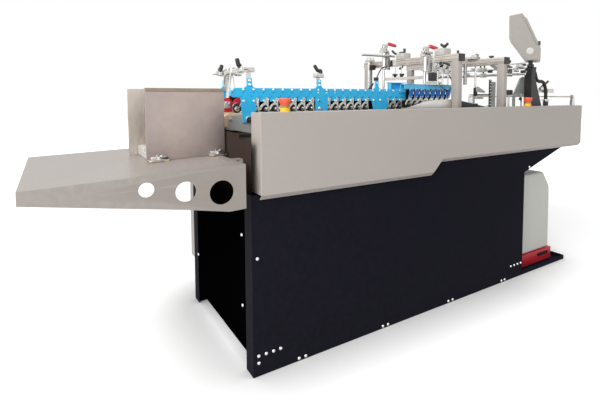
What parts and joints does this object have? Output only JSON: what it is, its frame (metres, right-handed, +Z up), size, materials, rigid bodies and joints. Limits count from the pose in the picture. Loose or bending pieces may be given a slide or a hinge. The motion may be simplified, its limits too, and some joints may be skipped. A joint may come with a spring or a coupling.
{
  "type": "box folder gluer",
  "caption": "Table-height carton folding and gluing machine with delivery tray, belt table, two gantries and a swivelling control box.",
  "frame": {"origin": "bottom centre of the whole machine's box, on the floor", "axes": "+X along the machine towards the feeder end, cartons leave at -X; -Y is the operator's side; +Z up"},
  "size_m": [2.354, 0.735, 1.24],
  "materials": {
    "navy_panel": "satin powder coat",
    "grey_cover": "satin powder coat",
    "grey_plate": "satin",
    "blue_plate": "satin powder coat",
    "light_grey": "satin",
    "red_paint": "satin",
    "aluminium": "brushed",
    "steel": "bright zinc",
    "belt": "matte",
    "feeder_belt": "matte",
    "black_plastic": "matte",
    "black_rubber": "matte",
    "red_plastic": "gloss",
    "yellow_plastic": "gloss"
  },
  "bodies": {
    "machine": {"front_panel": "navy_panel", "rear_panel": "navy_panel", "left_end_panel": "navy_panel", "right_end_panel": "navy_panel", "base_tray": "navy_panel", "frame_deck": "grey_plate", "front_cover": "grey_cover", "rear_cover": "grey_cover", "control_cabinet": "grey_cover", "compressor_band": "red_paint", "compressor_housing": "light_grey", "delivery_tray": "grey_cover", "near_tray_guide": "aluminium", "far_tray_guide": "aluminium", "near_lower_carrier": "grey_plate", "far_lower_carrier": "grey_plate", "near_lower_belt": "belt", "far_lower_belt": "belt", "feeder_bed": "aluminium", "feeder_belt": "feeder_belt", "near_upper_carrier": "blue_plate", "far_upper_carrier": "blue_plate", "near_press_rollers": "steel", "far_press_rollers": "steel", "middle_upper_carrier": "blue_plate", "middle_press_rollers": "steel", "delivery_cross_bar": "steel", "post_clamp": "steel", "kicker_plate": "red_paint", "kicker_rod": "steel", "delivery_gantry": "grey_cover", "feeder_gantry": "grey_cover", "near_rack_head": "aluminium", "far_rack_head": "aluminium", "lower_cross_bar": "aluminium", "cross_shafts": "steel", "gate_column": "black_plastic", "near_stack_guide": "aluminium", "far_stack_guide": "aluminium", "rest_rod": "steel", "entry_plate": "aluminium", "wedge_plate": "black_plastic", "control_column": "black_plastic", "hose": "black_rubber", "hose_gland": "steel", "left_stop_collar": "yellow_plastic", "right_stop_collar": "yellow_plastic"},
    "left_stop": {"left_stop_head": "red_plastic"},
    "right_stop": {"right_stop_head": "red_plastic"},
    "lever_1": {"clamp_lever_1": "black_plastic"},
    "lever_2": {"clamp_lever_2": "black_plastic"},
    "lever_3": {"clamp_lever_3": "black_plastic"},
    "wheel": {"kicker_wheel": "black_rubber"},
    "near_handle": {"near_toggle_handle": "red_plastic"},
    "far_handle": {"far_toggle_handle": "red_plastic"},
    "neck": {"box_neck": "black_plastic"},
    "screen": {"screen_box": "grey_cover"}
  },
  "joints": [
    {"name": "left_stop_push", "type": "slide", "parent": "machine", "child": "left_stop", "axis": [0, 0, -1], "range_m": [0, 0.004]},
    {"name": "right_stop_push", "type": "slide", "parent": "machine", "child": "right_stop", "axis": [0, 0, -1], "range_m": [0, 0.004]},
    {"name": "lever_1_turn", "type": "hinge", "parent": "machine", "child": "lever_1", "pos_m": [-0.5285, -0.0055, 0.9495], "axis": [0, 0, 1], "range_deg": [-90, 90]},
    {"name": "lever_2_turn", "type": "hinge", "parent": "machine", "child": "lever_2", "pos_m": [-0.5285, 0.2155, 0.9495], "axis": [0, 0, 1], "range_deg": [-90, 90]},
    {"name": "lever_3_turn", "type": "hinge", "parent": "machine", "child": "lever_3", "pos_m": [-0.233, -0.0872, 0.9355], "axis": [0, 0, 1], "range_deg": [-90, 90]},
    {"name": "kicker_wheel_spin", "type": "hinge", "parent": "machine", "child": "wheel", "pos_m": [-0.552, -0.032, 0.8035], "axis": [0, 1, 0], "continuous": true},
    {"name": "near_toggle", "type": "hinge", "parent": "machine", "child": "near_handle", "pos_m": [0.3002, -0.1165, 1.058], "axis": [0, -1, 0], "range_deg": [0, 80]},
    {"name": "far_toggle", "type": "hinge", "parent": "machine", "child": "far_handle", "pos_m": [0.3002, 0.1705, 1.097], "axis": [0, -1, 0], "range_deg": [0, 80]},
    {"name": "screen_swivel", "type": "hinge", "parent": "machine", "child": "neck", "pos_m": [0.872, -0.2665, 1], "axis": [0, 0, 1], "range_deg": [-45, 45]},
    {"name": "screen_tilt", "type": "hinge", "parent": "neck", "child": "screen", "pos_m": [0.872, -0.2665, 1.052], "axis": [0.8443, 0.5358, 0], "range_deg": [-15, 15]}
  ]
}
